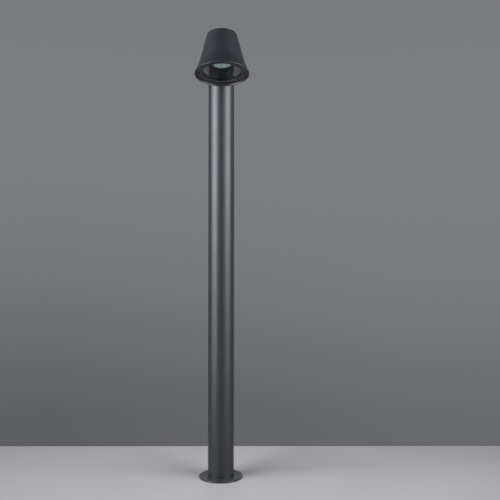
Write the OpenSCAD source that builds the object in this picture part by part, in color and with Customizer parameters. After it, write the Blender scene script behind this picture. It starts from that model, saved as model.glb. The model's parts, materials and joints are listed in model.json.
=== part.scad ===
// Garden bollard light: a tubular post on a round foot flange, with a conical spot head
// that tilts on a hollow knuckle. The origin is the centre of the flange's underside, +Z is
// up, and the head hangs on the -Y side of the post.

/* [Post] */
// Height of the highest point of the light above the ground
overall_h = 1000; // [700:10:1400]
// Outer diameter of the post tube
post_d = 60; // [58:1:64]
// Wall thickness of the post tube
post_wall = 2; // [1.5:0.1:2.5]

/* [Foot] */
// Diameter of the foot flange
flange_d = 100; // [98:1:140]
// Thickness of the foot flange
flange_t = 4; // [3:0.5:5]
// Diameter of the circle that the ground anchors stand on
anchor_circle_d = 82; // [80:0.5:86]
// Diameter of each anchor hole
anchor_hole_d = 6; // [5:0.5:7]
// Turn of the anchor holes from the front of the light, in degrees
anchor_turn = 6; // [0:1:60]
// Bore of the supply cable's grommet
inlet_d = 9; // [7:0.5:11]

/* [Shade] */
// Outer diameter of the shade at its open rim
shade_rim_d = 119.5; // [117:0.5:124]
// How far the rim flares out past the straight cone, on the radius
shade_flare = 3.7; // [3:0.1:4.2]
// Outer diameter of the shade at its closed top
shade_top_d = 66.5; // [64:0.5:72]
// Length of the shade along its axis
shade_h = 92; // [92:1:100]
// Wall thickness of the shade casting
shade_wall = 2.2; // [2:0.1:2.6]
// Forward tilt of the shade's axis from the vertical, in degrees
head_tilt = 12.4; // [0:0.1:60]

/* [Knuckle] */
// Radius of the knuckle's two half discs
knuckle_r = 11; // [10.5:0.1:11.5]
// Half of the knuckle's width along its pivot
knuckle_half_w = 16; // [16:0.5:18]

/* [Hidden] */
$fn = 96;
// Overlap used where one shape cuts another
eps = 0.5;

// Post
post_r = post_d / 2;
bore_r = post_r - post_wall;
cap_t = 3.5;
cap_plug_h = 7;
cap_seal_r = 0.9;

// Foot
spigot_h = 32;
spigot_gap = 0.15;
spigot_wall = 4.2;
spigot_r = bore_r - spigot_gap;
hub_r = 14;
hub_h = 6;
grommet_hole_r = 8;
grommet_lip_r = 10.5;
grommet_lip_t = 1.5;
grommet_top_z = hub_h + grommet_lip_t + 2.5;
foot_screw_z = 20;
foot_screw_r = 2.5;
foot_screw_angles = [50, 130];
pillar_x = 18;
pillar_r = 3.6;
pillar_top_z = 28;

// Terminal plate, standing on the foot's two pillars
sheet_t = 1.5;
upright_w = 28;
upright_y = 7.5;
upright_top_z = 97;
plate_top_z = pillar_top_z + sheet_t;
saddle_z = 42;
saddle_pitch = 18;
block_size = [26, 15, 24];
block_z = 56;
way_pitch = 8.5;
earth_z = 90;

// Shade, in the head's own frame: rim centre at the origin, axis +Z, back of the head +Y
cone_foot_r = shade_rim_d / 2 - shade_flare;
top_r = shade_top_d / 2;
slope = (cone_foot_r - top_r) / shade_h;
wall_angle = atan(slope);
flare_s = 40;
rim_angle = atan(slope + 2 * shade_flare / flare_s);
wall_across = shade_wall / cos(wall_angle);
top_fillet = 3;
rim_fillet = 0.8;
shade_top_t = 3;
ring_face_s = 2.6;
ring_t = 4;
ring_inner_r = 42;
ring_outer_r = 55.6;
ring_bevel_w = 2.2;
ring_bevel_h = 1.3;
ring_back_s = ring_face_s + ring_t;
screw_circle_r = 49;
glass_r = 45.6;
glass_t = 4;
gasket_t = 2;
seat_s = ring_back_s + glass_t + gasket_t;
seat_t = 3;

// Lamp and lampholder, along the head's axis
lens_s = 27;
lamp_len = 42.4;
lamp_front_r = 25;
lens_r = 20.9;
lens_t = 8;
lamp_base_r = 12;
holder_s = lens_s + lamp_len + 0.2;
holder_top_s = 84;
holder_r = 14;
holder_face_t = 1.6;
cave_h = 6.4;
pin_pitch_r = 5;
pin_stem_r = 1.5;
pin_head_r = 2.5;
slot_half_w = 1.85;
pin_head_s = holder_s + holder_face_t + 0.5;
pin_top_s = pin_head_s + 3.2;
twist = 25;
holder_plate_t = 1.2;
holder_boss_x = 21;

// Knuckle
pad_t = 4.5;
knuckle_gap = 0.45;
pivot_clear = knuckle_r + 0.6;
pivot_y = -(post_r + pad_t + pivot_clear);
pivot_s = 62;
base_t = 3.8;
seal_t = 1;
wall_from_pivot = pivot_clear + base_t + seal_t;
pivot_r = cone_foot_r - slope * pivot_s + wall_from_pivot / cos(wall_angle);
inner_pad_from_pivot = wall_from_pivot + 5.2;
knuckle_wall_x = 4;
cavity_r = 8.6;
cap_seat_x = knuckle_half_w - 2.4;
cap_r = 9.6;
nipple_r = 5;
nipple_bore_r = 3.5;
nipple_half = 7.6;
nut_t = 3;
nut_flats = 14;
running_gap = 0.06;
pad_half_h = 24.5;
arm_screw_pitch = 33;
base_half_h = 17;
knuckle_screw_at = [[8, 10], [8, -10], [-10, 0]];

// Heights that follow from the overall height
head_rise = pivot_r * sin(head_tilt) + (shade_h - pivot_s - top_fillet) * cos(head_tilt)
    + (top_r - top_fillet * (1 - sin(wall_angle)) / cos(wall_angle)) * sin(head_tilt) + top_fillet;
pivot_z = round(100 * (overall_h - head_rise)) / 100;
tube_top_z = pivot_z + 30;

// Cable
cable_r = 2.7;
cable_x = 10.8;
core_r = 0.9;
core_ring_r = 1.25;
core_bend_r = 1.5;
elbow_r = 4.8;
post_elbow_r = 12;
sheath_end_z = 108;
head_sheath_end = 27;
entry_w = 28.65;
entry_x = [3.5, 8];
entry_depth = 2.5;
tag_t = 0.8;

// Points along an arc of radius r about c, from angle a0 to a1
function arc(c, r, a0, a1, n = 10) =
    [for (i = [0:n]) c + r * [cos(a0 + (a1 - a0) * i / n), sin(a0 + (a1 - a0) * i / n)]];

// Radius of the shade's straight cone at a distance s from its rim, grown by extra
function cone_r(s, extra = 0) = cone_foot_r - slope * s + extra / cos(wall_angle);

// Outer radius of the shade at a distance s from its rim, with the flare
function shade_r(s) = cone_r(s) + (s < flare_s ? shade_flare * pow(1 - s / flare_s, 2) : 0);

// How far a core that stands at x reaches into the side of the lampholder
function entry_tip(x) = round(100 * (sqrt(holder_r * holder_r - x * x) - entry_depth - pivot_r
    + entry_w * sin(wall_angle)) / cos(wall_angle)) / 100;

// A round bar from point p to point q
module bar(p, q, r) {
    v = q - p;
    translate(p)
        rotate([0, acos(v[2] / norm(v)), atan2(v[1], v[0])])
            cylinder(r = r, h = norm(v));
}

// A quarter bend about centre c, from direction u to direction v, of bend radius big
module quarter_bend(c, u, v, big, r) {
    w = cross(u, v);
    multmatrix([[u[0], v[0], w[0], c[0]], [u[1], v[1], w[1], c[1]], [u[2], v[2], w[2], c[2]]])
        rotate_extrude(angle = 90)
            translate([big, 0])
                circle(r = r, $fn = 32);
}

// A pan-head screw along +Z: the head's underside is at the origin, the shank points down
module pan_screw(shank_r, shank_l, head_r, head_h, socket_r) {
    difference() {
        union() {
            translate([0, 0, -shank_l])
                cylinder(r = shank_r, h = shank_l, $fn = 48);
            cylinder(r = head_r, h = head_h * 0.55, $fn = 48);
            translate([0, 0, head_h * 0.55])
                cylinder(r1 = head_r, r2 = head_r * 0.72, h = head_h * 0.45, $fn = 48);
        }
        translate([0, 0, head_h * 0.35])
            cylinder(r = socket_r, h = head_h, $fn = 6);
    }
}

// A block of width 2 * half_w with half-round ends, lying in XZ and reaching along Y
module stadium(half_w, half_h, y0, y1) {
    translate([0, y1, 0])
        rotate([90, 0, 0])
            linear_extrude(height = y1 - y0)
                union() {
                    square([2 * half_w, 2 * (half_h - half_w)], center = true);
                    for (side = [-1, 1])
                        translate([0, side * (half_h - half_w)])
                            circle(r = half_w);
                }
}

// Children on the two halves of the pivot: along +X from the knuckle's centre
module along_x() {
    rotate([0, 90, 0])
        children();
}

// Places the head's own frame on the post
module head_place() {
    translate([0, pivot_y, pivot_z])
        rotate([-head_tilt, 0, 0])
            translate([0, -pivot_r, -pivot_s])
                children();
}

// Frame on the pivot inside the head: -Y runs square into the shade's back wall
module wall_place() {
    translate([0, pivot_r, pivot_s])
        rotate([wall_angle, 0, 0])
            children();
}

// The cone of the shade's outside, grown by extra, as a tool
module cone_tool(extra = 0, below = 0, above = 0) {
    translate([0, 0, -below])
        cylinder(r1 = cone_r(-below, extra), r2 = cone_r(shade_h + above, extra),
                 h = shade_h + below + above);
}

// ---- Foot ----

module anchor_holes() {
    for (i = [0:2])
        rotate([0, 0, -90 + anchor_turn + 120 * i])
            translate([anchor_circle_d / 2, 0, -eps])
                cylinder(r = anchor_hole_d / 2, h = flange_t + 2 * eps, $fn = 48);
}

module foot_flange() {
    edge = 0.6;
    undercut = 1.2;
    color("#3a3d41")
        difference() {
            union() {
                cylinder(r1 = flange_d / 2 - undercut, r2 = flange_d / 2, h = undercut, $fn = 180);
                translate([0, 0, undercut])
                    cylinder(r = flange_d / 2, h = flange_t - edge - undercut, $fn = 180);
                translate([0, 0, flange_t - edge])
                    cylinder(r1 = flange_d / 2, r2 = flange_d / 2 - edge, h = edge, $fn = 180);
                difference() {
                    cylinder(r = spigot_r, h = flange_t + spigot_h);
                    translate([0, 0, flange_t])
                        cylinder(r = spigot_r - spigot_wall, h = spigot_h + eps);
                }
                cylinder(r = hub_r, h = hub_h);
                for (side = [-1, 1])
                    translate([side * pillar_x, 0, 0])
                        cylinder(r = pillar_r, h = pillar_top_z, $fn = 48);
            }
            anchor_holes();
            translate([0, 0, -eps])
                cylinder(r = grommet_hole_r, h = hub_h + 2 * eps, $fn = 64);
            translate([0, 0, -eps])
                cylinder(r = grommet_lip_r + 0.1, h = grommet_lip_t + eps, $fn = 64);
            for (a = foot_screw_angles)
                rotate([0, 0, a])
                    translate([spigot_r - spigot_wall - eps, 0, foot_screw_z])
                        along_x()
                            cylinder(r = foot_screw_r, h = spigot_wall + 2 * eps, $fn = 48);
            for (side = [-1, 1])
                translate([side * pillar_x, 0, pillar_top_z - 12])
                    cylinder(r = 1.5, h = 12 + eps, $fn = 32);
        }
}

module cable_grommet() {
    color("#1c1c1e")
        rotate_extrude()
            polygon([
                [inlet_d / 2, 0.2], [grommet_lip_r, 0.2], [grommet_lip_r, grommet_lip_t],
                [grommet_hole_r, grommet_lip_t], [grommet_hole_r, hub_h], [grommet_lip_r, hub_h],
                [grommet_lip_r, hub_h + grommet_lip_t], [inlet_d / 2 + 1.4, grommet_top_z],
                [inlet_d / 2, grommet_top_z]]);
}

module foot_screws() {
    color("#202224")
        for (a = foot_screw_angles)
            rotate([0, 0, a])
                translate([post_r + 0.02, 0, foot_screw_z])
                    along_x()
                        pan_screw(foot_screw_r - 0.05, post_wall + spigot_wall, 4.5, 2.6, 1.7);
}

module terminal_plate() {
    foot_half_w = 22;
    color("#c9cbcc")
        difference() {
            union() {
                intersection() {
                    translate([0, 0, pillar_top_z])
                        cylinder(r = spigot_r - spigot_wall - 0.4, h = sheet_t);
                    translate([-foot_half_w, -7, pillar_top_z])
                        cube([2 * foot_half_w, 7 + upright_y + sheet_t, sheet_t]);
                }
                translate([-upright_w / 2, upright_y, pillar_top_z])
                    cube([upright_w, sheet_t, upright_top_z - pillar_top_z]);
            }
            translate([0, 0, pillar_top_z - eps])
                cylinder(r = inlet_d / 2 + 1, h = sheet_t + 2 * eps, $fn = 48);
            for (side = [-1, 1])
                translate([side * pillar_x, 0, pillar_top_z - eps])
                    cylinder(r = 1.7, h = sheet_t + 2 * eps, $fn = 32);
            upright_holes(1.6);
        }
}

// Holes, or screws' places, in the terminal plate's upright
module upright_holes(r) {
    for (side = [-1, 1])
        translate([side * saddle_pitch / 2, upright_y - eps, saddle_z])
            rotate([-90, 0, 0])
                cylinder(r = r, h = sheet_t + 2 * eps, $fn = 32);
    for (side = [-1, 1])
        translate([side * way_pitch / 2, upright_y - eps, block_z + block_size[2] / 2])
            rotate([-90, 0, 0])
                cylinder(r = r, h = sheet_t + 2 * eps, $fn = 32);
    translate([0, upright_y - eps, earth_z])
        rotate([-90, 0, 0])
            cylinder(r = r, h = sheet_t + 2 * eps, $fn = 32);
}

module plate_screws() {
    color("#b8babb")
        for (side = [-1, 1])
            translate([side * pillar_x, 0, plate_top_z])
                pan_screw(1.45, 10, 2.8, 2, 1.1);
}

module terminal_block() {
    w = block_size[0];
    d = block_size[1];
    h = block_size[2];
    color("#ecebe6")
        difference() {
            translate([-w / 2, upright_y - d, block_z])
                cube([w, d, h]);
            for (i = [-1:1])
                translate([i * way_pitch, upright_y - d / 2, block_z - eps])
                    cylinder(r = 2.3, h = h + 2 * eps, $fn = 32);
            for (i = [-1:1], z = [0.27, 0.73])
                translate([i * way_pitch, upright_y - d / 2, block_z + z * h])
                    rotate([90, 0, 0])
                        cylinder(r = 2, h = d, $fn = 32);
            for (side = [-1, 1])
                translate([side * way_pitch / 2, upright_y - d - eps, block_z + h / 2])
                    rotate([-90, 0, 0])
                        cylinder(r = 1.35, h = d + 2 * eps, $fn = 32);
            for (side = [-1, 1])
                translate([side * way_pitch / 2, upright_y - d - eps, block_z + h / 2])
                    rotate([-90, 0, 0])
                        cylinder(r = 2.6, h = 6, $fn = 32);
            for (side = [-1, 1])
                translate([side * way_pitch / 2, upright_y - d - eps, block_z - eps])
                    translate([-0.5, 0, 0])
                        cube([1, 2, h + 2 * eps]);
        }
}

module block_screws() {
    color("#b8babb")
        for (side = [-1, 1])
            translate([side * way_pitch / 2, upright_y - block_size[1] + 5.4, block_z + block_size[2] / 2])
                rotate([90, 0, 0])
                    pan_screw(1.3, block_size[1] - 5.4 + sheet_t, 2.4, 1.8, 0.9);
}

module terminal_screws() {
    color("#b59a4c")
        for (i = [-1:1], z = [0.27, 0.73])
            translate([i * way_pitch, upright_y - block_size[1] / 2 - 2.4, block_z + z * block_size[2]])
                rotate([90, 0, 0])
                    difference() {
                        cylinder(r = 1.9, h = 3.4, $fn = 32);
                        translate([-2, -0.3, 2.6])
                            cube([4, 0.6, 1]);
                    }
}

module cable_saddle() {
    arch_r = inlet_d / 2 + 0.2;
    centre_y = upright_y - arch_r + 0.6;
    color("#ecebe6")
        difference() {
            translate([-saddle_pitch / 2 - 4, centre_y - arch_r - 2, saddle_z - 4])
                cube([saddle_pitch + 8, upright_y - centre_y + arch_r + 2, 8]);
            translate([0, centre_y, saddle_z - 4 - eps])
                cylinder(r = arch_r, h = 8 + 2 * eps, $fn = 48);
            translate([-3, centre_y, saddle_z - 4 - eps])
                cube([6, 12, 8 + 2 * eps]);
            for (side = [-1, 1])
                translate([side * saddle_pitch / 2, centre_y - arch_r - 2 - eps, saddle_z])
                    rotate([-90, 0, 0])
                        cylinder(r = 1.6, h = 20, $fn = 32);
            for (side = [-1, 1])
                translate([side * (saddle_pitch / 2 + 1) - 4, centre_y - arch_r - 2 - eps,
                           saddle_z - 4 - eps])
                    cube([8, 7, 8 + 2 * eps]);
        }
}

module saddle_screws() {
    arch_r = inlet_d / 2 + 0.2;
    head_y = upright_y - 2 * arch_r + 0.6 - 2 - eps + 7;
    color("#b8babb")
        for (side = [-1, 1])
            translate([side * saddle_pitch / 2, head_y, saddle_z])
                rotate([90, 0, 0])
                    pan_screw(1.5, upright_y + sheet_t - head_y, 2.8, 2, 1.1);
}

module earth_screw() {
    color("#c8a23c")
        translate([0, upright_y - 0.9, earth_z])
            rotate([90, 0, 0]) {
                pan_screw(1.5, sheet_t + 0.9, 2.9, 2, 1.1);
                difference() {
                    translate([0, 0, -0.8])
                        cylinder(r = 3.6, h = 0.8, $fn = 48);
                    translate([0, 0, -0.8 - eps])
                        cylinder(r = 1.4, h = 0.8 + eps + 0.1, $fn = 32);
                }
            }
}

// ---- Post ----

module post_tube() {
    color("#3a3d41")
        difference() {
            translate([0, 0, flange_t])
                cylinder(r = post_r, h = tube_top_z - flange_t, $fn = 180);
            translate([0, 0, flange_t - eps])
                cylinder(r = bore_r, h = tube_top_z - flange_t + 2 * eps, $fn = 180);
            for (a = foot_screw_angles)
                rotate([0, 0, a])
                    translate([bore_r - eps, 0, foot_screw_z])
                        along_x()
                            cylinder(r = foot_screw_r + 0.05, h = post_wall + 2 * eps, $fn = 48);
            for (side = [-1, 1])
                translate([0, -bore_r + eps, pivot_z + side * arm_screw_pitch / 2])
                    rotate([90, 0, 0])
                        cylinder(r = 2.6, h = post_wall + 2 * eps, $fn = 48);
            translate([-cable_x, -bore_r + 5, pivot_z])
                rotate([90, 0, 0])
                    cylinder(r = cable_r + 0.7, h = 10, $fn = 48);
        }
}

module post_cap() {
    edge = 1.2;
    color("#3a3d41")
        difference() {
            rotate_extrude($fn = 180)
                polygon(concat(
                    [[0, tube_top_z]],
                    [[0, tube_top_z + cap_t]],
                    arc([post_r - edge, tube_top_z + cap_t - edge], edge, 90, 0),
                    [[post_r, tube_top_z], [bore_r - 0.2, tube_top_z]],
                    [[bore_r - 0.2, tube_top_z - cap_plug_h], [bore_r - 2.4, tube_top_z - cap_plug_h]],
                    [[bore_r - 2.4, tube_top_z]]));
            translate([0, 0, tube_top_z - cap_plug_h / 2])
                rotate_extrude($fn = 180)
                    translate([bore_r - 1.1, 0])
                        circle(r = cap_seal_r + 0.05, $fn = 32);
            translate([0, 0, tube_top_z - cap_plug_h / 2 - cap_seal_r - 0.05])
                difference() {
                    cylinder(r = bore_r + 1, h = 2 * cap_seal_r + 0.1, $fn = 180);
                    translate([0, 0, -eps])
                        cylinder(r = bore_r - 1.1, h = 2 * cap_seal_r + 0.1 + 2 * eps, $fn = 180);
                }
        }
}

module cap_seal() {
    color("#1c1c1e")
        translate([0, 0, tube_top_z - cap_plug_h / 2])
            rotate_extrude($fn = 180)
                translate([bore_r - 1.1, 0])
                    circle(r = cap_seal_r, $fn = 32);
}

// ---- Arm and knuckle, on the post's side ----

// The half disc of the knuckle from x0 outwards, with its cavity, cap seat and pivot bore
module half_disc_cuts() {
    along_x() {
        cylinder(r = nipple_r + running_gap, h = knuckle_wall_x + eps, $fn = 64);
        translate([0, 0, knuckle_wall_x])
            cylinder(r = cavity_r, h = knuckle_half_w, $fn = 64);
        translate([0, 0, cap_seat_x])
            cylinder(r = cap_r, h = knuckle_half_w, $fn = 64);
    }
}

module arm_bracket() {
    neck_w = knuckle_half_w - knuckle_gap;
    pad_face_y = -(post_r + pad_t) - pivot_y;
    color("#3a3d41")
        translate([0, pivot_y, pivot_z])
            difference() {
                union() {
                    stadium(knuckle_half_w, pad_half_h, pad_face_y, pad_face_y + 14);
                    mirror([1, 0, 0])
                        translate([knuckle_gap, 0, 0])
                            along_x()
                                cylinder(r = knuckle_r, h = neck_w);
                    translate([-knuckle_half_w, 0, -knuckle_r])
                        cube([neck_w, pad_face_y + 1, 2 * knuckle_r]);
                }
                translate([0, -pivot_y, -pad_half_h - eps])
                    cylinder(r = post_r + 0.05, h = 2 * pad_half_h + 2 * eps, $fn = 180);
                mirror([1, 0, 0])
                    half_disc_cuts();
                translate([-cable_x, 0, 0])
                    rotate([-90, 0, 0])
                        cylinder(r = cable_r + 0.7, h = 40, $fn = 48);
                for (side = [-1, 1])
                    translate([0, 0, side * arm_screw_pitch / 2])
                        rotate([-90, 0, 0])
                            cylinder(r = 2.6, h = 40, $fn = 48);
            }
}

module arm_nut_plate() {
    half_h = 20.5;
    color("#c9cbcc")
        translate([0, 0, pivot_z])
            difference() {
                intersection() {
                    translate([0, 0, -half_h])
                        cylinder(r = bore_r - 0.1, h = 2 * half_h, $fn = 180);
                    translate([-7, -bore_r, -half_h])
                        cube([14, 5, 2 * half_h]);
                }
                for (side = [-1, 1])
                    translate([0, -bore_r + 10, side * arm_screw_pitch / 2])
                        rotate([90, 0, 0])
                            cylinder(r = 2.5, h = 20, $fn = 48);
                translate([-cable_x, -bore_r + 10, 0])
                    rotate([90, 0, 0])
                        cylinder(r = cable_r + 2, h = 20, $fn = 48);
            }
}

module arm_screws() {
    color("#202224")
        for (side = [-1, 1])
            translate([0, -(post_r + pad_t), pivot_z + side * arm_screw_pitch / 2])
                rotate([90, 0, 0])
                    pan_screw(2.45, pad_t + post_wall + 4, 4.4, 2.8, 1.8);
}

module pivot_nipple() {
    color("#c8a23c")
        translate([0, pivot_y, pivot_z])
            along_x()
                difference() {
                    translate([0, 0, -nipple_half])
                        cylinder(r = nipple_r, h = 2 * nipple_half, $fn = 64);
                    translate([0, 0, -nipple_half - eps])
                        cylinder(r = nipple_bore_r, h = 2 * nipple_half + 2 * eps, $fn = 64);
                }
}

module pivot_nuts() {
    corner_r = nut_flats / 2 / cos(30);
    color("#b59a4c")
        translate([0, pivot_y, pivot_z])
            for (side = [-1, 1])
                along_x()
                    translate([0, 0, side * (knuckle_wall_x + 0.05 + nut_t / 2) - nut_t / 2])
                        difference() {
                            cylinder(r = corner_r, h = nut_t, $fn = 6);
                            translate([0, 0, -eps])
                                cylinder(r = nipple_r + 0.02, h = nut_t + 2 * eps, $fn = 64);
                        }
}

module friction_washer() {
    color("#d8d4c4")
        translate([0, pivot_y, pivot_z])
            along_x()
                translate([0, 0, -knuckle_gap + 0.03])
                    difference() {
                        cylinder(r = knuckle_r - 1, h = 2 * knuckle_gap - 0.06, $fn = 64);
                        translate([0, 0, -eps])
                            cylinder(r = nipple_r + 0.05, h = 2 * knuckle_gap + eps, $fn = 64);
                    }
}

// Threaded cap that closes one half disc, along +X from the pivot
module knuckle_cap() {
    along_x()
        difference() {
            union() {
                translate([0, 0, cap_seat_x])
                    cylinder(r = cap_r - 0.05, h = 1.5, $fn = 64);
                translate([0, 0, cap_seat_x + 1.5])
                    cylinder(r1 = cap_r - 0.05, r2 = cap_r - 0.55, h = 0.5, $fn = 64);
            }
            translate([-5, -0.8, cap_seat_x + 1])
                cube([10, 1.6, 2]);
        }
}

module knuckle_cap_left() {
    color("#303236")
        translate([0, pivot_y, pivot_z])
            mirror([1, 0, 0])
                knuckle_cap();
}

// ---- Knuckle, on the head's side ----

module head_knuckle() {
    neck_w = knuckle_half_w - knuckle_gap;
    color("#3a3d41")
        head_place()
            difference() {
                wall_place()
                    union() {
                        translate([knuckle_gap, 0, 0])
                            along_x()
                                cylinder(r = knuckle_r, h = neck_w);
                        translate([knuckle_gap, -pivot_clear - 1, -knuckle_r])
                            cube([neck_w, pivot_clear + 1, 2 * knuckle_r]);
                        stadium(knuckle_half_w, base_half_h, -wall_from_pivot - 5, -pivot_clear);
                    }
                cone_tool(seal_t);
                wall_place()
                    half_disc_cuts();
                wall_place()
                    head_wall_holes(cable_r + 0.7, 2.0, -pivot_clear + 0.6);
            }
}

// Cable hole and screw holes through the head's back wall. The screw holes stop at y0
module head_wall_holes(hole_r, screw_r, y0) {
    translate([cable_x, 0, 0])
        rotate([90, 0, 0])
            cylinder(r = hole_r, h = inner_pad_from_pivot + 5, $fn = 48);
    for (at = knuckle_screw_at)
        translate([at[0], at[0] < 0 ? -pivot_clear - 0.8 : y0 + 2.5, at[1]])
            rotate([90, 0, 0])
                cylinder(r = screw_r, h = inner_pad_from_pivot, $fn = 48);
}

module knuckle_cap_right() {
    color("#303236")
        head_place()
            wall_place()
                knuckle_cap();
}

module knuckle_gasket() {
    color("#1c1c1e")
        head_place()
            difference() {
                intersection() {
                    cone_tool(seal_t - 0.02);
                    wall_place()
                        stadium(knuckle_half_w - 0.6, base_half_h - 0.6, -wall_from_pivot - 5, -pivot_clear);
                }
                cone_tool(0.02);
                wall_place()
                    head_wall_holes(cable_r + 0.7, 2.2, -pivot_clear);
            }
}

module knuckle_screws() {
    color("#b8babb")
        head_place()
            wall_place()
                for (at = knuckle_screw_at)
                    translate([at[0], -inner_pad_from_pivot - (at[0] < 0 ? tag_t : 0), at[1]])
                        rotate([90, 0, 0])
                            pan_screw(1.95, inner_pad_from_pivot - pivot_clear - 1, 3.4, 2.2, 1.3);
}

// ---- Shade and its glass ----

// Half section of the shade's shell with the glass seat, for turning about the axis
function shade_outline() = concat(
    [[0, shade_h]],
    arc([top_r - top_fillet * (1 - sin(wall_angle)) / cos(wall_angle), shade_h - top_fillet],
        top_fillet, 90, wall_angle),
    [for (s = [flare_s:-4:4]) [shade_r(s), s]],
    arc([shade_r(0) - rim_fillet * (1 + sin(rim_angle)) / cos(rim_angle), rim_fillet],
        rim_fillet, rim_angle, -90, 6),
    [[shade_r(0) - wall_across - 0.2, 0]],
    [for (s = [0.6, 4, 8, seat_s]) [shade_r(s) - wall_across, s]],
    [[ring_inner_r + 0.8, seat_s], [ring_inner_r + 0.8, seat_s + seat_t]],
    [for (s = [seat_s + seat_t + 2, 24, 30, flare_s]) [shade_r(s) - wall_across, s]],
    [[cone_r(shade_h - shade_top_t) - wall_across, shade_h - shade_top_t]],
    [[0, shade_h - shade_top_t]]);

module shade() {
    boss_r = 3;
    color("#34373b")
        head_place()
            difference() {
                union() {
                    rotate_extrude($fn = 180)
                        polygon(shade_outline());
                    for (side = [-1, 1])
                        translate([side * screw_circle_r, 0, ring_back_s + 0.05])
                            cylinder(r = boss_r, h = seat_s - ring_back_s + 1, $fn = 48);
                    for (side = [-1, 1])
                        translate([side * holder_boss_x, 0, holder_top_s + holder_plate_t + 0.05])
                            cylinder(r = 4, h = shade_h - shade_top_t - holder_top_s, $fn = 48);
                    intersection() {
                        cone_tool(-0.6);
                        wall_place()
                            stadium(knuckle_half_w, base_half_h, -inner_pad_from_pivot, -wall_from_pivot + 4);
                    }
                }
                for (side = [-1, 1])
                    translate([side * screw_circle_r, 0, 0])
                        cylinder(r = 1.5, h = seat_s + seat_t - 1, $fn = 32);
                for (side = [-1, 1])
                    translate([side * holder_boss_x, 0, holder_top_s])
                        cylinder(r = 1.5, h = 6.2, $fn = 32);
                wall_place()
                    head_wall_holes(cable_r + 0.7, 2.2, -pivot_clear);
            }
}

module glass_gasket() {
    color("#8d8f90")
        head_place()
            translate([0, 0, ring_back_s + glass_t + 0.02])
                difference() {
                    cylinder(r = glass_r + 0.2, h = gasket_t - 0.04, $fn = 180);
                    translate([0, 0, -eps])
                        cylinder(r = ring_inner_r - 0.2, h = gasket_t + 2 * eps, $fn = 180);
                }
}

module glass() {
    color("#cfe3e6", 0.35)
        head_place()
            translate([0, 0, ring_back_s])
                cylinder(r = glass_r, h = glass_t, $fn = 180);
}

module trim_ring() {
    color("#2b2d30")
        head_place()
            difference() {
                rotate_extrude($fn = 180)
                    polygon([
                        [ring_inner_r, ring_back_s], [ring_inner_r, ring_face_s + ring_bevel_h],
                        [ring_inner_r + ring_bevel_w, ring_face_s], [ring_outer_r - 0.4, ring_face_s],
                        [ring_outer_r, ring_face_s + 0.4], [ring_outer_r - 1.6, ring_back_s]]);
                for (side = [-1, 1])
                    translate([side * screw_circle_r, 0, 0])
                        cylinder(r = 1.6, h = 20, $fn = 32);
            }
}

module ring_screws() {
    color("#151617")
        head_place()
            for (side = [-1, 1])
                translate([side * screw_circle_r, 0, ring_face_s])
                    rotate([180, 0, 0])
                        pan_screw(1.45, 10, 2.7, 1.7, 1.1);
}

// ---- Lampholder ----

module holder_plate() {
    color("#c9cbcc")
        head_place()
            translate([0, 0, holder_top_s])
                difference() {
                    intersection() {
                        cylinder(r = 26, h = holder_plate_t);
                        translate([-26, -15, 0])
                            cube([52, 30, holder_plate_t]);
                    }
                    for (side = [-1, 1])
                        translate([side * holder_boss_x, 0, -eps])
                            cylinder(r = 1.7, h = 3, $fn = 32);
                    for (side = [-1, 1])
                        translate([0, side * 10.5, -eps])
                            cylinder(r = 1.5, h = 3, $fn = 32);
                }
}

module plate_fixing_screws() {
    color("#b8babb")
        head_place()
            for (side = [-1, 1])
                translate([side * holder_boss_x, 0, holder_top_s])
                    rotate([180, 0, 0])
                        pan_screw(1.45, 5.5, 2.8, 2, 1.1);
}

// One of the two keyhole slots for the lamp's pins: the wide end is where they go in
module pin_slot() {
    rotate_extrude(angle = twist)
        translate([pin_pitch_r - slot_half_w, 0])
            square([2 * slot_half_w, holder_face_t + 2 * eps]);
    translate([pin_pitch_r, 0, 0])
        cylinder(r = slot_half_w, h = holder_face_t + 2 * eps, $fn = 48);
    rotate([0, 0, twist])
        translate([pin_pitch_r, 0, 0])
            cylinder(r = pin_head_r + 0.25, h = holder_face_t + 2 * eps, $fn = 48);
}

module lampholder() {
    cave_inner_r = pin_pitch_r - pin_head_r - 0.4;
    cave_outer_r = pin_pitch_r + pin_head_r + 0.4;
    color("#e6e1d6")
        head_place()
            difference() {
                translate([0, 0, holder_s])
                    cylinder(r = holder_r, h = holder_top_s - holder_s - 0.02);
                translate([0, 0, holder_s + holder_face_t])
                    difference() {
                        cylinder(r = cave_outer_r, h = cave_h, $fn = 64);
                        translate([0, 0, -eps])
                            cylinder(r = cave_inner_r, h = cave_h + 2 * eps, $fn = 64);
                    }
                for (turn = [0, 180])
                    rotate([0, 0, turn + 180])
                        mirror([0, 1, 0])
                            translate([0, 0, holder_s - eps])
                                pin_slot();
                for (side = [-1, 1])
                    translate([0, side * 10.5, holder_top_s - 7])
                        cylinder(r = 1.5, h = 8, $fn = 32);
                wall_place()
                    for (i = [0, 1])
                        translate([entry_x[i], -30, entry_w])
                            rotate([90, 0, 0])
                                cylinder(r = core_r + 0.2, h = -30 - entry_tip(entry_x[i]) + 0.1, $fn = 32);
            }
}

module holder_contacts() {
    color("#b59a4c")
        head_place()
            for (turn = [0, 180])
                rotate([0, 0, turn])
                    translate([pin_pitch_r - 1.6, -2, pin_top_s + 0.15])
                        cube([3.2, 4, holder_s + holder_face_t + cave_h - pin_top_s - 0.17]);
}

module holder_screws() {
    color("#b8babb")
        head_place()
            for (side = [-1, 1])
                translate([0, side * 10.5, holder_top_s + holder_plate_t])
                    pan_screw(1.4, 7.5, 2.6, 1.6, 1.1);
}

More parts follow.
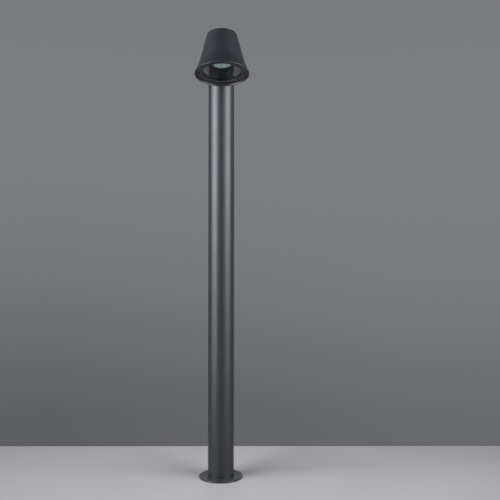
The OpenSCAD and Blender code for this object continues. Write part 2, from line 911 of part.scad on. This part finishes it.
module head_earth_tag() {
    at = knuckle_screw_at[2];
    color("#c8a23c")
        head_place()
            wall_place()
                translate([at[0], -inner_pad_from_pivot, at[1]])
                    rotate([90, 0, 0])
                        difference() {
                            union() {
                                cylinder(r = 3.8, h = tag_t, $fn = 48);
                                translate([0, -2, 0])
                                    cube([7, 4, tag_t]);
                            }
                            translate([0, 0, -eps])
                                cylinder(r = 2.05, h = tag_t + 2 * eps, $fn = 32);
                        }
}

// ---- Lamp ----

module lamp_body() {
    shell_t = 1.4;
    neck_s = lens_s + 32;
    base_end_s = lens_s + lamp_len;
    rib_angle = atan((lamp_front_r - lamp_base_r) / (neck_s - lens_s - 5));
    color("#dfe1e2")
        head_place()
            difference() {
                rotate_extrude()
                    polygon(concat(
                        [[lens_r + 0.1, lens_s], [lamp_front_r - 0.6, lens_s], [lamp_front_r, lens_s + 0.6]],
                        [[lamp_front_r, lens_s + 5]],
                        [[lamp_base_r, neck_s], [lamp_base_r, base_end_s - 0.8]],
                        [[lamp_base_r - 0.8, base_end_s], [0, base_end_s]],
                        [[0, base_end_s - shell_t - 1], [lamp_base_r - shell_t, base_end_s - shell_t - 1]],
                        [[lamp_base_r - shell_t, neck_s]],
                        [[lamp_front_r - 5, lens_s + lens_t + 2.6], [lens_r + 0.1, lens_s + lens_t + 2.6]]));
                for (i = [0:23])
                    rotate([0, 0, 15 * i])
                        translate([lamp_front_r - 2.4, -0.6, lens_s + 8])
                            rotate([0, -rib_angle, 0])
                                cube([6, 1.2, 20]);
                for (side = [-1, 1])
                    translate([side * pin_pitch_r, 0, base_end_s - 6])
                        cylinder(r = pin_stem_r, h = 8, $fn = 32);
            }
}

module lamp_lens() {
    color("#e8f2f4", 0.5)
        head_place()
            translate([0, 0, lens_s + 0.4])
                difference() {
                    cylinder(r = lens_r, h = lens_t, $fn = 96);
                    translate([0, 0, 3])
                        cylinder(r1 = 6, r2 = 8, h = lens_t, $fn = 64);
                }
}

module lamp_led() {
    color("#f2d35c")
        head_place()
            translate([0, 0, lens_s + lens_t + 0.5])
                union() {
                    cylinder(r = lens_r, h = 1.6, $fn = 96);
                    translate([0, 0, -1])
                        cylinder(r = 4.5, h = 1.2, $fn = 48);
                }
}

module lamp_driver() {
    color("#2e6b3c")
        head_place()
            translate([0, 0, lens_s + lens_t + 6])
                union() {
                    translate([-8, -0.8, 0])
                        cube([16, 1.6, 24]);
                    translate([-5, 0.7, 4])
                        cube([8, 5, 8]);
                    translate([3, 0.5, 18])
                        rotate([-90, 0, 0])
                            cylinder(r = 3, h = 6, $fn = 32);
                }
}

module lamp_pins() {
    stem_s = lens_s + lamp_len - 3;
    color("#c9cbcc")
        head_place()
            for (side = [-1, 1])
                translate([side * pin_pitch_r, 0, 0]) {
                    translate([0, 0, stem_s])
                        cylinder(r = pin_stem_r - 0.02, h = pin_head_s - stem_s + 0.2, $fn = 32);
                    translate([0, 0, pin_head_s])
                        cylinder(r = pin_head_r, h = pin_top_s - pin_head_s, $fn = 32);
                }
}

// ---- Wiring ----

// Where a core sits in the cable's round, by its angle, to a hundredth of a millimetre
function core_at(angle) =
    [round(100 * core_ring_r * cos(angle)) / 100, round(100 * core_ring_r * sin(angle)) / 100];

module post_cable() {
    rise_top_z = pivot_z - post_elbow_r;
    run_y = pivot_y + elbow_r;
    color("#24262a")
        union() {
            translate([-cable_x, 0, sheath_end_z])
                cylinder(r = cable_r, h = rise_top_z - sheath_end_z, $fn = 32);
            quarter_bend([-cable_x, -post_elbow_r, rise_top_z], [0, 1, 0], [0, 0, 1], post_elbow_r, cable_r);
            bar([-cable_x, -post_elbow_r, pivot_z], [-cable_x, run_y, pivot_z], cable_r, $fn = 32);
            quarter_bend([-cable_x + elbow_r, run_y, pivot_z], [-1, 0, 0], [0, -1, 0], elbow_r, cable_r);
            bar([-cable_x + elbow_r, pivot_y, pivot_z], [-0.02, pivot_y, pivot_z], cable_r, $fn = 32);
        }
}

// A core from the cable's lower end, across at run_z and down into one way of the block
module post_core(angle, way, run_z) {
    x0 = -cable_x + core_at(angle)[0];
    y0 = core_at(angle)[1];
    x1 = way * way_pitch;
    down_z = run_z - core_bend_r;
    union() {
        translate([x0, y0, run_z + core_bend_r])
            cylinder(r = core_r, h = sheath_end_z - run_z - core_bend_r - 0.02, $fn = 24);
        quarter_bend([x0 + core_bend_r, y0, run_z + core_bend_r], [-1, 0, 0], [0, 0, -1],
                     core_bend_r, core_r);
        bar([x0 + core_bend_r, y0, run_z], [x1 - core_bend_r, y0, run_z], core_r, $fn = 24);
        quarter_bend([x1 - core_bend_r, y0, down_z], [0, 0, 1], [1, 0, 0], core_bend_r, core_r);
        translate([x1, y0, block_z + block_size[2] - 11])
            cylinder(r = core_r, h = down_z - block_z - block_size[2] + 11, $fn = 24);
    }
}

module post_core_brown() {
    color("#6b3f22")
        post_core(30, 0, 102);
}

module post_core_blue() {
    color("#2f5fb0")
        post_core(150, -1, 96);
}

module post_core_earth() {
    color("#7fa52a")
        post_core(-90, 1, 88);
}

module earth_link() {
    x = way_pitch;
    y = 1;
    turn_z = earth_z - 1.5;
    tag_y = upright_y - 1;
    color("#7fa52a")
        union() {
            translate([x, y, block_z + block_size[2] - 11])
                cylinder(r = core_r, h = turn_z - block_z - block_size[2] + 11, $fn = 24);
            quarter_bend([x, y + core_bend_r, turn_z], [0, -1, 0], [0, 0, 1], core_bend_r, core_r);
            bar([x, y + core_bend_r, turn_z + core_bend_r],
                [x, tag_y - core_bend_r, turn_z + core_bend_r], core_r, $fn = 24);
            quarter_bend([x - core_bend_r, tag_y - core_bend_r, turn_z + core_bend_r],
                         [1, 0, 0], [0, 1, 0], core_bend_r, core_r);
            bar([x - core_bend_r, tag_y, turn_z + core_bend_r], [3.65, tag_y, turn_z + core_bend_r],
                core_r, $fn = 24);
        }
}

module head_cable() {
    color("#24262a")
        head_place()
            wall_place()
                union() {
                    bar([0.02, 0, 0], [cable_x - elbow_r, 0, 0], cable_r, $fn = 32);
                    quarter_bend([cable_x - elbow_r, -elbow_r, 0], [0, 1, 0], [1, 0, 0], elbow_r, cable_r);
                    bar([cable_x, -elbow_r, 0], [cable_x, -head_sheath_end, 0], cable_r, $fn = 32);
                }
}

// A core from the cable's end in the head: across at depth run_v to x, up, and into the holder
module head_core(angle, run_v, x) {
    x0 = cable_x + core_at(angle)[0];
    z0 = core_at(angle)[1];
    b = core_bend_r;
    head_place()
        wall_place()
            union() {
                bar([x0, -head_sheath_end - 0.02, z0], [x0, run_v + b, z0], core_r, $fn = 24);
                quarter_bend([x0 - b, run_v + b, z0], [1, 0, 0], [0, -1, 0], b, core_r);
                if (x0 - x > 2 * b + 0.01)
                    bar([x0 - b, run_v, z0], [x + b, run_v, z0], core_r, $fn = 24);
                quarter_bend([x + b, run_v, z0 + b], [0, 0, -1], [-1, 0, 0], b, core_r);
                bar([x, run_v, z0 + b], [x, run_v, entry_w - b], core_r, $fn = 24);
                quarter_bend([x, run_v - b, entry_w - b], [0, 1, 0], [0, 0, 1], b, core_r);
                bar([x, run_v - b, entry_w], [x, entry_tip(x), entry_w], core_r, $fn = 24);
            }
}

module head_core_brown() {
    color("#6b3f22")
        head_core(150, -head_sheath_end - 2.5, entry_x[0]);
}

module head_core_blue() {
    color("#2f5fb0")
        head_core(30, -head_sheath_end - 6, entry_x[1]);
}

module head_core_earth() {
    x0 = cable_x;
    x1 = knuckle_screw_at[2][0] + 5.2;
    z0 = core_at(-90)[1];
    run_v = -head_sheath_end - 2.5;
    b = core_bend_r;
    color("#7fa52a")
        head_place()
            wall_place()
                union() {
                    bar([x0, -head_sheath_end - 0.02, z0], [x0, run_v + b, z0], core_r, $fn = 24);
                    quarter_bend([x0 - b, run_v + b, z0], [1, 0, 0], [0, -1, 0], b, core_r);
                    bar([x0 - b, run_v, z0], [x1 + b, run_v, z0], core_r, $fn = 24);
                    quarter_bend([x1 + b, run_v + b, z0], [0, -1, 0], [-1, 0, 0], b, core_r);
                    bar([x1, run_v + b, z0], [x1, -inner_pad_from_pivot - tag_t - 0.02, z0],
                        core_r, $fn = 24);
                }
}

foot_flange();
cable_grommet();
foot_screws();
terminal_plate();
plate_screws();
terminal_block();
block_screws();
terminal_screws();
cable_saddle();
saddle_screws();
earth_screw();
earth_link();
post_tube();
post_cap();
cap_seal();
arm_bracket();
arm_nut_plate();
arm_screws();
pivot_nipple();
pivot_nuts();
friction_washer();
knuckle_cap_left();
head_knuckle();
knuckle_cap_right();
knuckle_gasket();
knuckle_screws();
shade();
glass_gasket();
glass();
trim_ring();
ring_screws();
holder_plate();
plate_fixing_screws();
lampholder();
holder_contacts();
holder_screws();
head_earth_tag();
lamp_body();
lamp_lens();
lamp_led();
lamp_driver();
lamp_pins();
post_cable();
post_core_brown();
post_core_blue();
post_core_earth();
head_cable();
head_core_brown();
head_core_blue();
head_core_earth();
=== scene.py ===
"""Looks of the bollard light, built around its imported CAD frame. Lengths are in metres."""

import json
import math

import bmesh
import bpy
from mathutils import Matrix, Vector

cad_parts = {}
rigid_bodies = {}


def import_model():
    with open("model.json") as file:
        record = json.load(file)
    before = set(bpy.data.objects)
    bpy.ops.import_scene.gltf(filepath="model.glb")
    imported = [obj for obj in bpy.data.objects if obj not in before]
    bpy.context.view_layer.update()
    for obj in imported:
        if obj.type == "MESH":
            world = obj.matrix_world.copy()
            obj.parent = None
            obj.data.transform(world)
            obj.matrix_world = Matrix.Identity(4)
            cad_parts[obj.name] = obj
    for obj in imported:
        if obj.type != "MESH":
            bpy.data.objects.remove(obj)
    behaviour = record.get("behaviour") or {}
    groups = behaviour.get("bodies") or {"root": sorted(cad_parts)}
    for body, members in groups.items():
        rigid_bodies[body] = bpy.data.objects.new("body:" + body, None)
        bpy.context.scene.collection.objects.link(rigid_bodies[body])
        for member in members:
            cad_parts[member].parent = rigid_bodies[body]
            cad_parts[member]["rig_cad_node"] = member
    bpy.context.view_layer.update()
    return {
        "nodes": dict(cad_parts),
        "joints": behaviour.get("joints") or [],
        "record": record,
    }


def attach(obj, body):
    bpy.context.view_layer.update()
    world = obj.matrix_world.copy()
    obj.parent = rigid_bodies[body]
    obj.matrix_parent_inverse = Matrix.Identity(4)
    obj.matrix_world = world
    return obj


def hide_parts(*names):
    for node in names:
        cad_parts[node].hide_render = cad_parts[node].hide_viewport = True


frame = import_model()

MM = 0.001
JOINTS = {j["name"]: j for j in frame["joints"]}
RIM = Vector(JOINTS["lamp_twist"]["pos_m"])
AXIS = -Vector(JOINTS["lamp_twist"]["axis"]).normalized()


def head_matrix():
    """The head's own frame: rim centre at the origin, +Z towards the closed top."""
    x = Vector((1, 0, 0))
    y = AXIS.cross(x).normalized()
    m = Matrix((x, y, AXIS)).transposed().to_4x4()
    m.translation = RIM
    return m


HEAD = head_matrix()


# ---- Nodes ----

def new_material(name):
    """A node material and its nodes: (material, tree, shader)."""
    mat = bpy.data.materials.new(name)
    mat.use_nodes = True
    tree = mat.node_tree
    return mat, tree, tree.nodes["Principled BSDF"]


def add(tree, kind, **properties):
    """A new node with its properties set."""
    node = tree.nodes.new(kind)
    for key, value in properties.items():
        setattr(node, key, value)
    return node


def noise(tree, scale, detail=3.0):
    """A noise texture in the object's own metres."""
    place = add(tree, "ShaderNodeTexCoord")
    node = add(tree, "ShaderNodeTexNoise")
    node.inputs["Scale"].default_value = scale
    node.inputs["Detail"].default_value = detail
    tree.links.new(place.outputs["Object"], node.inputs["Vector"])
    return node.outputs["Fac"]


def ramp(tree, source, low, high, start=0.3, end=0.7):
    """Maps a value from start..end onto the colours low..high."""
    node = add(tree, "ShaderNodeValToRGB")
    for element, place, tone in zip(node.color_ramp.elements, (start, end), (low, high)):
        element.position = place
        element.color = (*tone, 1)
    tree.links.new(source, node.inputs["Fac"])
    return node.outputs["Color"]


def spread(tree, source, low, high):
    """Maps a value from low..high onto 0..1."""
    node = add(tree, "ShaderNodeMapRange")
    node.inputs["From Min"].default_value = low
    node.inputs["From Max"].default_value = high
    tree.links.new(source, node.inputs["Value"])
    return node.outputs["Result"]


def mix(tree, first, second, blend="MIX"):
    """Two colours mixed: (the node, its colour output). The factor is left to set."""
    node = add(tree, "ShaderNodeMix", data_type="RGBA", blend_type=blend)
    colours = [socket for socket in node.inputs if socket.type == "RGBA"]
    tree.links.new(first, colours[0])
    tree.links.new(second, colours[1])
    output = next(socket for socket in node.outputs if socket.type == "RGBA")
    return node, output


def multiply(tree, tone, by, factor):
    node, output = mix(tree, tone, by, "MULTIPLY")
    node.inputs["Factor"].default_value = factor
    return output


def bump(tree, shader, height, strength, distance):
    node = add(tree, "ShaderNodeBump")
    node.inputs["Strength"].default_value = strength
    node.inputs["Distance"].default_value = distance
    tree.links.new(height, node.inputs["Height"])
    tree.links.new(node.outputs["Normal"], shader.inputs["Normal"])


def grey(value):
    return (value, value, value)


# ---- Materials ----

GRAIN_DEPTH = 0.02 * MM


def surface(name, dark, light, rough, metallic=0.0, scale=60.0, grain=900.0, specular=0.5):
    """A mottled, slightly uneven surface: two tones, a band of roughness and a fine grain.
    scale and grain say how many patches and grains a metre holds."""
    mat, tree, shader = new_material(name)
    shader.inputs["Metallic"].default_value = metallic
    shader.inputs["Specular IOR Level"].default_value = specular
    tone = ramp(tree, noise(tree, scale), dark, light)
    tree.links.new(tone, shader.inputs["Base Color"])
    gloss = ramp(tree, noise(tree, scale * 2.3, 4.0), grey(rough[0]), grey(rough[1]))
    tree.links.new(gloss, shader.inputs["Roughness"])
    bump(tree, shader, noise(tree, grain, 2.0), 0.5, GRAIN_DEPTH)
    return mat


def powder_coat():
    """Fine-textured anthracite coat: pimpled, with faint clouds and dulled patches."""
    mat, tree, shader = new_material("powder_coat")
    clouds = ramp(tree, noise(tree, 22.0, 4.0), (0.0092, 0.0112, 0.0137), (0.0127, 0.015, 0.018))
    specks = ramp(tree, noise(tree, 2600.0, 1.0), grey(0.72), grey(1.0), 0.42, 0.62)
    tree.links.new(multiply(tree, clouds, specks, 0.35), shader.inputs["Base Color"])
    gloss = ramp(tree, noise(tree, 45.0, 5.0), grey(0.36), grey(0.42))
    tree.links.new(gloss, shader.inputs["Roughness"])
    shader.inputs["Sheen Weight"].default_value = 0.05
    shader.inputs["Sheen Roughness"].default_value = 0.35
    bump(tree, shader, noise(tree, 1600.0, 2.0), 0.5, 0.06 * MM)
    return mat


def clear_glass():
    mat, tree, shader = new_material("clear_glass")
    shader.inputs["Transmission Weight"].default_value = 1.0
    shader.inputs["IOR"].default_value = 1.43
    tone = ramp(tree, noise(tree, 18.0), (0.92, 0.96, 0.97), (0.95, 0.98, 0.99))
    tree.links.new(tone, shader.inputs["Base Color"])
    haze = ramp(tree, noise(tree, 60.0, 5.0), grey(0.0), grey(0.03), 0.4, 0.8)
    tree.links.new(haze, shader.inputs["Roughness"])
    return mat


def lens_optic():
    """A milky, faintly blue plastic whose tone varies in small patches as painted glints, standing in for
    the sparkle of its facets.
    """
    mat, tree, shader = new_material("lens_optic")
    shader.inputs["Transmission Weight"].default_value = 0.1
    shader.inputs["IOR"].default_value = 1.6
    # Painted glints: the patchy light and dark tone stands in for facets catching the lights
    tone = ramp(tree, noise(tree, 200.0, 1.0), (0.72, 0.87, 0.91), (0.98, 1.0, 1.0), 0.42, 0.58)
    tree.links.new(tone, shader.inputs["Base Color"])
    haze = ramp(tree, noise(tree, 300.0), grey(0.02), grey(0.06))
    tree.links.new(haze, shader.inputs["Roughness"])
    return mat


# Material slot: darkest tone, lightest tone, roughness, metallic, patches per metre
SURFACES = {
    "zinc_steel": ((0.5, 0.51, 0.53), (0.62, 0.63, 0.64), (0.28, 0.45), 0.9, 350.0),
    "brass": ((0.55, 0.38, 0.13), (0.75, 0.56, 0.22), (0.25, 0.4), 0.9, 350.0),
    "black_rubber": (grey(0.016), grey(0.026), (0.7, 0.85), 0.0, 300.0),
    "white_plastic": ((0.72, 0.71, 0.67), (0.8, 0.79, 0.76), (0.42, 0.55), 0.0, 200.0),
    "washer_plastic": ((0.6, 0.57, 0.46), (0.68, 0.65, 0.54), (0.5, 0.6), 0.0, 300.0),
    "holder_ceramic": ((0.7, 0.67, 0.6), (0.8, 0.77, 0.7), (0.5, 0.65), 0.0, 260.0),
    "led_board": ((0.7, 0.72, 0.72), (0.82, 0.84, 0.84), (0.35, 0.5), 0.2, 200.0),
    "driver_board": ((0.02, 0.12, 0.05), (0.03, 0.18, 0.07), (0.4, 0.5), 0.0, 400.0),
    "cable_sheath": (grey(0.02), grey(0.03), (0.5, 0.62), 0.0, 200.0),
    "brown_wire": ((0.13, 0.05, 0.02), (0.18, 0.075, 0.03), (0.35, 0.45), 0.0, 300.0),
    "blue_wire": ((0.02, 0.08, 0.35), (0.03, 0.11, 0.45), (0.35, 0.45), 0.0, 300.0),
    "earth_wire": ((0.12, 0.32, 0.03), (0.5, 0.5, 0.03), (0.35, 0.45), 0.0, 90.0),
}


def make_materials():
    materials = {slot: surface(slot, *look) for slot, look in SURFACES.items()}
    materials["coat"] = powder_coat()
    materials["clear_glass"] = clear_glass()
    materials["lens_plastic"] = lens_optic()
    materials["ring_coat"] = surface("ring_coat", (0.006, 0.0065, 0.008), (0.009, 0.0098, 0.012),
                                     (0.44, 0.52), grain=1400.0)
    # Partly painted shade: the near-black tone is partly the screws' black finish, partly standing in for
    # the shade of deep recesses around the trim-ring screws
    materials["black_steel"] = surface("black_steel", grey(0.002), grey(0.004), (0.5, 0.62),
                                       scale=400.0, specular=0.12)
    # Partly painted shade: the near-black lamp shell is partly a dark plastic, partly standing in for the
    # shade inside the closed head
    materials["lamp_shell"] = surface("lamp_shell", grey(0.003), grey(0.005), (0.4, 0.5),
                                      scale=150.0, specular=0.2)
    return materials


MATERIALS = make_materials()


def paint(obj, slot):
    obj.data.materials.clear()
    obj.data.materials.append(MATERIALS[slot])


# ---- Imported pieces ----

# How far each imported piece's edges are rounded, in millimetres
EDGE_MM = {
    "foot_flange": 0.4, "post_cap": 0.4, "arm_bracket": 0.2, "head_knuckle": 0.15,
    "knuckle_cap_left": 0.25, "knuckle_cap_right": 0.25, "trim_ring": 0.25, "foot_screws": 0.12,
    "arm_screws": 0.12, "ring_screws": 0.12, "knuckle_gasket": 0.2, "glass": 0.4, "lamp_body": 0.25,
    "holder_plate": 0.2, "lampholder": 0.4, "terminal_plate": 0.2, "terminal_block": 0.3,
    "cable_grommet": 0.4, "cable_saddle": 0.3, "holder_contacts": 0.1, "pivot_nuts": 0.2,
}
WELD_GAP = 0.002 * MM
FLAT_ANGLE = math.radians(0.4)
SHARP_ANGLE = math.radians(32)


def soften(obj, width):
    """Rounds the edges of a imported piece: welds its faces, joins the flat ones, bevels the sharp."""
    weld = obj.modifiers.new("weld", "WELD")
    weld.merge_threshold = WELD_GAP
    flat = obj.modifiers.new("flat_faces", "DECIMATE")
    flat.decimate_type = "DISSOLVE"
    flat.angle_limit = FLAT_ANGLE
    bevel = obj.modifiers.new("soft_edges", "BEVEL")
    bevel.width = width
    bevel.segments = 3
    bevel.limit_method = "ANGLE"
    bevel.angle_limit = SHARP_ANGLE
    bevel.use_clamp_overlap = False
    bevel.harden_normals = True


def finish_cad():
    """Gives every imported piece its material, and rounds the edges that a hand would feel."""
    for part in frame["record"]["subparts"]:
        obj = frame["nodes"][part["node"]]
        paint(obj, part["material_slot"])
        if part["node"] in EDGE_MM:
            soften(obj, EDGE_MM[part["node"]] * MM)


# ---- Lens ----

PITCHES_PER_RADIUS = 3.2
FACET_DEPTH = 2.4 * MM
PLAIN_RIM = 1.2 * MM
LENS_CHAMFER = 0.4 * MM
LENS_RINGS = 56
LENS_STEPS = 144


def head_span(node):
    """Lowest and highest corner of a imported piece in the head's own frame."""
    inverse = HEAD.inverted()
    points = [inverse @ v.co for v in frame["nodes"][node].data.vertices]
    low = Vector([min(p[i] for p in points) for i in range(3)])
    high = Vector([max(p[i] for p in points) for i in range(3)])
    return low, high


def facet_drop(x, y, pitch):
    """How far below the dome tops a point of the faceted face lies. Domes stand in a honeycomb."""
    row = pitch * math.sqrt(3)
    nearest = 1.0
    for shift in (0, 0.5):
        dx = x / pitch - shift
        dy = y / row - shift
        nearest = min(nearest, math.hypot((dx - round(dx)) * pitch, (dy - round(dy)) * row))
    return FACET_DEPTH * (math.sqrt(3) * nearest / pitch) ** 2


def turned_mesh(name, profile, place, drop):
    """A closed solid turned about +Z from (radius, height, faceted) points that start and end on
    the axis. drop(x, y) sinks the faceted points into the solid."""
    bm = bmesh.new()
    rings = []
    for radius, height, faceted in profile:
        ring = []
        for i in range(LENS_STEPS if radius > 0 else 1):
            turn = 2 * math.pi * i / LENS_STEPS
            x = radius * math.cos(turn)
            y = radius * math.sin(turn)
            lift = drop(x, y) if faceted else 0
            ring.append(bm.verts.new(place @ Vector((x, y, height + lift))))
        rings.append(ring)
    for a, b in zip(rings, rings[1:]):
        for i in range(LENS_STEPS):
            j = (i + 1) % LENS_STEPS
            corners = [a[i % len(a)], a[j % len(a)], b[j % len(b)], b[i % len(b)]]
            bm.faces.new(dict.fromkeys(corners))
    bmesh.ops.recalc_face_normals(bm, faces=bm.faces)
    mesh = bpy.data.meshes.new(name)
    bm.to_mesh(mesh)
    bm.free()
    mesh.shade_smooth()
    mesh.set_sharp_from_angle(angle=math.radians(40))
    obj = bpy.data.objects.new(name, mesh)
    bpy.context.scene.collection.objects.link(obj)
    return obj


def make_lens():
    """The lamp's lens: a disc whose front is a honeycomb of small domes inside a plain rim."""
    low, high = head_span("lamp_lens")
    radius = high.x
    pitch = radius / PITCHES_PER_RADIUS
    field = radius - PLAIN_RIM
    front = [(field * i / LENS_RINGS, low.z, True) for i in range(LENS_RINGS + 1)]
    rim = [(field, low.z, False), (radius - LENS_CHAMFER, low.z, False)]
    back = [(radius, low.z + LENS_CHAMFER, False), (radius, high.z, False), (0, high.z, False)]
    lens = turned_mesh("lens_facets", front + rim + back, HEAD, lambda x, y: facet_drop(x, y, pitch))
    paint(lens, "lens_plastic")
    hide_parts("lamp_lens")
    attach(lens, "lamp")


# ---- Stage ----

# The floor ends a little behind the post, at the line where the backdrop starts
FLOOR_NEAR = -1.6
FLOOR_FAR = 0.255
FLOOR_HALF_WIDTH = 2.2
FLOOR_TURN_DEG = -2.6

SOFTBOX_DISTANCE = 1.5
LIGHT_COLOUR = (0.985, 0.985, 1.04)
UPPER = (0.65, 1.9)
LOWER = (0.05, 0.65)
BEHIND = (0.9, 2.1)
# Bearing in degrees from the front and plus to the right, heights, width, radiance
SOFTBOXES = {
    "softbox_left": (-61, UPPER, 1.3, 10.8),
    "softbox_left_low": (-61, LOWER, 1.3, 4.8),
    "softbox_right": (58, UPPER, 1.3, 8.6),
    "softbox_right_low": (58, LOWER, 1.3, 3.3),
    "softbox_back": (180, BEHIND, 0.8, 2.2),
}

# The backdrop's grey by how far a direction rises, as (rise, grey). Below it lies the floor's tone
BACKDROP_BELOW = [(-1.0, 0.42), (-0.41, 0.42)]
BACKDROP_LEFT = [(-0.3, 0.11), (-0.22, 0.112), (0.0, 0.185)]
BACKDROP_RIGHT = [(-0.3, 0.132), (-0.22, 0.14), (-0.05, 0.19)]
BACKDROP_ABOVE = [(0.16, 0.205), (0.34, 0.19), (0.5, 0.13), (0.75, 0.03), (1.0, 0.0)]


def paint_shade_sideways(mat, middle, reach, low):
    """Paints shade onto a surface on either side of the line x = middle, darkening it to low times its tone
    at reach: a painted falloff of light around a lit middle.
    """
    tree = mat.node_tree
    shader = tree.nodes["Principled BSDF"]
    tone = shader.inputs["Base Color"].links[0].from_socket
    place = add(tree, "ShaderNodeTexCoord")
    split = add(tree, "ShaderNodeSeparateXYZ")
    tree.links.new(place.outputs["Object"], split.inputs["Vector"])
    offset = add(tree, "ShaderNodeMath", operation="SUBTRACT")
    offset.inputs[1].default_value = middle
    tree.links.new(split.outputs["X"], offset.inputs[0])
    square = add(tree, "ShaderNodeMath", operation="MULTIPLY")
    tree.links.new(offset.outputs["Value"], square.inputs[0])
    tree.links.new(offset.outputs["Value"], square.inputs[1])
    way = spread(tree, square.outputs["Value"], 0.0, reach ** 2)
    shade = ramp(tree, way, grey(1.0), grey(low), 0.0, 1.0)
    tree.links.new(multiply(tree, tone, shade, 1.0), shader.inputs["Base Color"])


def make_floor():
    mesh = bpy.data.meshes.new("floor")
    bm = bmesh.new()
    corners = [(-1, FLOOR_NEAR), (1, FLOOR_NEAR), (1, FLOOR_FAR), (-1, FLOOR_FAR)]
    bm.faces.new([bm.verts.new((side * FLOOR_HALF_WIDTH, y, 0)) for side, y in corners])
    bm.to_mesh(mesh)
    bm.free()
    floor = bpy.data.objects.new("floor", mesh)
    floor.rotation_euler = (0, 0, math.radians(FLOOR_TURN_DEG))
    bpy.context.scene.collection.objects.link(floor)
    pale = surface("pale_floor", (0.278, 0.275, 0.28), (0.298, 0.294, 0.298), (0.75, 0.85),
                   scale=3.0, grain=200.0)
    # Painted shade: the floor darkens towards both sides, standing in for the softboxes' light falling off
    # away from the post
    paint_shade_sideways(pale, 0.1, 0.8, 0.72)
    mesh.materials.append(pale)


def softbox(name, bearing, heights, width, radiance):
    """An upright soft light that faces the post."""
    turn = math.radians(bearing)
    height = heights[1] - heights[0]
    light = bpy.data.lights.new(name, "AREA")
    light.shape = "RECTANGLE"
    light.size = width
    light.size_y = height
    light.energy = radiance * math.pi * width * height
    light.color = LIGHT_COLOUR
    obj = bpy.data.objects.new(name, light)
    obj.location = (SOFTBOX_DISTANCE * math.sin(turn), -SOFTBOX_DISTANCE * math.cos(turn), sum(heights) / 2)
    obj.rotation_euler = (math.radians(90), 0, turn)
    obj.visible_camera = False
    bpy.context.scene.collection.objects.link(obj)


def backdrop_tone(tree, height, stops):
    """A cool grey that depends on how far a direction rises, by stops of (rise, grey)."""
    tone = add(tree, "ShaderNodeValToRGB")
    elements = tone.color_ramp.elements
    while len(elements) < len(stops):
        elements.new(0.5)
    for element, (rise, value) in zip(elements, stops):
        element.position = (rise + 1) / 2
        element.color = (value, value * 1.02, value * 1.06, 1)
    tree.links.new(height, tone.inputs["Fac"])
    return tone.outputs["Color"]


def make_world():
    """A grey backdrop, darker towards the floor and overhead, with the pale floor carried on below."""
    world = bpy.data.worlds.new("backdrop")
    world.use_nodes = True
    tree = world.node_tree
    place = add(tree, "ShaderNodeTexCoord")
    split = add(tree, "ShaderNodeSeparateXYZ")
    tree.links.new(place.outputs["Generated"], split.inputs["Vector"])
    height = spread(tree, split.outputs["Z"], -1.0, 1.0)
    left = backdrop_tone(tree, height, BACKDROP_BELOW + BACKDROP_LEFT + BACKDROP_ABOVE)
    right = backdrop_tone(tree, height, BACKDROP_BELOW + BACKDROP_RIGHT + BACKDROP_ABOVE)
    node, output = mix(tree, left, right)
    tree.links.new(spread(tree, split.outputs["X"], -0.22, 0.24), node.inputs["Factor"])
    tree.links.new(output, tree.nodes["Background"].inputs["Color"])
    bpy.context.scene.world = world


# ---- Camera ----

SENSOR_MM = 36
LENS_MM = 51.09
CAMERA_PLACE = (-0.018, -1.6454, 0.5252)
CAMERA_ROLL_DEG = -0.066
CAMERA_TURN_DEG = -2.954


def make_camera():
    """Level, just left of the post's front at mid height, and turned a little to the right."""
    data = bpy.data.cameras.new("camera")
    data.sensor_width = SENSOR_MM
    data.lens = LENS_MM
    camera = bpy.data.objects.new("camera", data)
    camera.location = CAMERA_PLACE
    camera.rotation_euler = [math.radians(a) for a in (90, CAMERA_ROLL_DEG, CAMERA_TURN_DEG)]
    bpy.context.scene.collection.objects.link(camera)
    bpy.context.scene.camera = camera


finish_cad()
make_lens()
make_floor()
make_world()
for name, look in SOFTBOXES.items():
    softbox(name, *look)
make_camera()
bpy.context.scene.view_settings.view_transform = "Standard"
